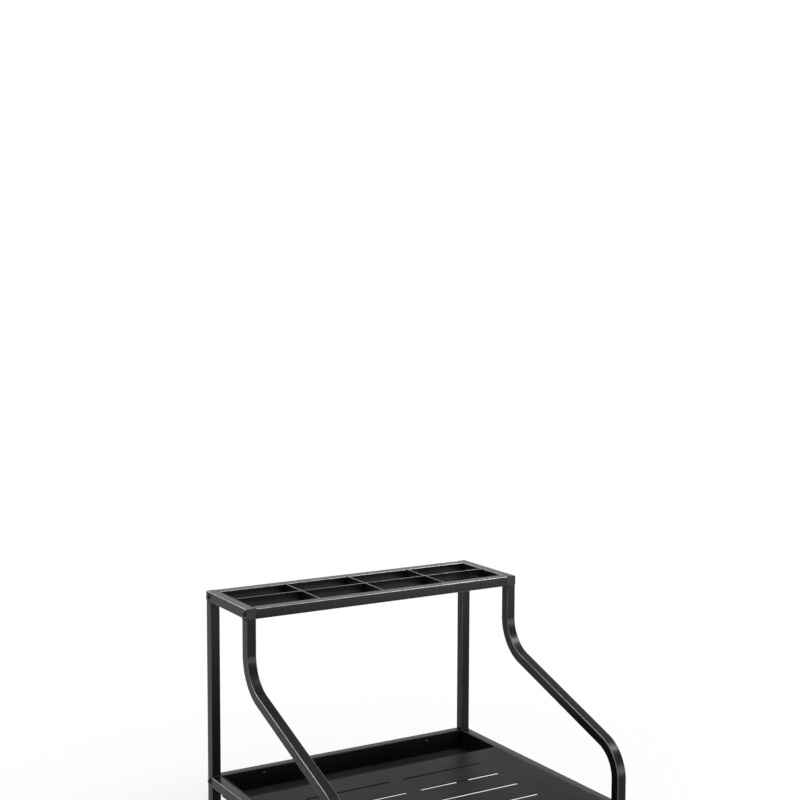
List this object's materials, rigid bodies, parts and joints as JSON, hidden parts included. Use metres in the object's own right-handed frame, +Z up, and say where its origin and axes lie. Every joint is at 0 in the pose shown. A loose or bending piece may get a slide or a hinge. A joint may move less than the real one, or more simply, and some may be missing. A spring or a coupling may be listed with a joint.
{
  "type": "ski rack stand",
  "caption": "Free-standing black steel rack: an open top ring divided into bays, a deep tray below it, and a slotted deck in front between bent square tubes.",
  "frame": {"origin": "on the floor, in the middle of the footprint", "axes": "+Z up; the deck faces -Y, the tray and the top ring are at +Y; +X runs across the rack to the right as seen from the front"},
  "size_m": [0.608, 0.548, 0.5],
  "materials": {
    "powder_coated_tube": "black satin powder coat with a fine grain",
    "powder_coated_sheet": "black satin powder coat on folded sheet steel",
    "plug_plastic": "moulded black plastic",
    "black_fastener": "black oxide",
    "mat_rubber": "matt black rubber",
    "foot_rubber": "matt black rubber",
    "zinc_stud": "zinc plated"
  },
  "bodies": {
    "frame": {"rear_post_left": "powder_coated_tube", "rear_post_right": "powder_coated_tube", "front_tube_left": "powder_coated_tube", "front_tube_right": "powder_coated_tube", "top_side_rail_left": "powder_coated_tube", "top_side_rail_right": "powder_coated_tube", "lower_side_rail_left": "powder_coated_tube", "lower_side_rail_right": "powder_coated_tube", "end_plug_front_left": "plug_plastic", "end_plug_front_right": "plug_plastic", "end_plug_rear_left": "plug_plastic", "end_plug_rear_right": "plug_plastic", "top_front_rail": "powder_coated_tube", "top_rear_rail": "powder_coated_tube", "lower_rear_rail": "powder_coated_tube", "lower_middle_rail": "powder_coated_tube", "lower_front_rail": "powder_coated_tube", "bolt_top_front_rail_left": "black_fastener", "bolt_top_front_rail_right": "black_fastener", "bolt_top_rear_rail_left": "black_fastener", "bolt_top_rear_rail_right": "black_fastener", "bolt_lower_rear_rail_left": "black_fastener", "bolt_lower_rear_rail_right": "black_fastener", "bolt_lower_middle_rail_left": "black_fastener", "bolt_lower_middle_rail_right": "black_fastener", "bolt_lower_front_rail_left": "black_fastener", "bolt_lower_front_rail_right": "black_fastener", "long_grid_bar": "powder_coated_tube", "cross_grid_bar_1": "powder_coated_tube", "cross_grid_bar_2": "powder_coated_tube", "cross_grid_bar_3": "powder_coated_tube", "tray_floor": "powder_coated_sheet", "tray_wall_front": "powder_coated_sheet", "tray_wall_rear": "powder_coated_sheet", "tray_end_left": "powder_coated_sheet", "tray_end_right": "powder_coated_sheet", "front_deck": "powder_coated_sheet", "tray_mat": "mat_rubber", "tray_screw_rear_left": "black_fastener", "tray_screw_rear_right": "black_fastener", "tray_screw_front_left": "black_fastener", "tray_screw_front_right": "black_fastener", "deck_screw_front_left": "black_fastener", "deck_screw_front_right": "black_fastener", "deck_screw_side_left_1": "black_fastener", "deck_screw_side_left_2": "black_fastener", "deck_screw_side_right_1": "black_fastener", "deck_screw_side_right_2": "black_fastener", "leg_insert_front_left": "plug_plastic", "leg_insert_front_right": "plug_plastic", "leg_insert_rear_left": "plug_plastic", "leg_insert_rear_right": "plug_plastic"},
    "foot_front_left": {"foot_pad_front_left": "foot_rubber", "foot_stud_front_left": "zinc_stud"},
    "foot_front_right": {"foot_pad_front_right": "foot_rubber", "foot_stud_front_right": "zinc_stud"},
    "foot_rear_left": {"foot_pad_rear_left": "foot_rubber", "foot_stud_rear_left": "zinc_stud"},
    "foot_rear_right": {"foot_pad_rear_right": "foot_rubber", "foot_stud_rear_right": "zinc_stud"}
  },
  "joints": [
    {"name": "level_front_left", "type": "slide", "parent": "frame", "child": "foot_front_left", "axis": [0, 0, -1], "range_m": [0, 0.012]},
    {"name": "level_front_right", "type": "slide", "parent": "frame", "child": "foot_front_right", "axis": [0, 0, -1], "range_m": [0, 0.012]},
    {"name": "level_rear_left", "type": "slide", "parent": "frame", "child": "foot_rear_left", "axis": [0, 0, -1], "range_m": [0, 0.012]},
    {"name": "level_rear_right", "type": "slide", "parent": "frame", "child": "foot_rear_right", "axis": [0, 0, -1], "range_m": [0, 0.012]}
  ]
}
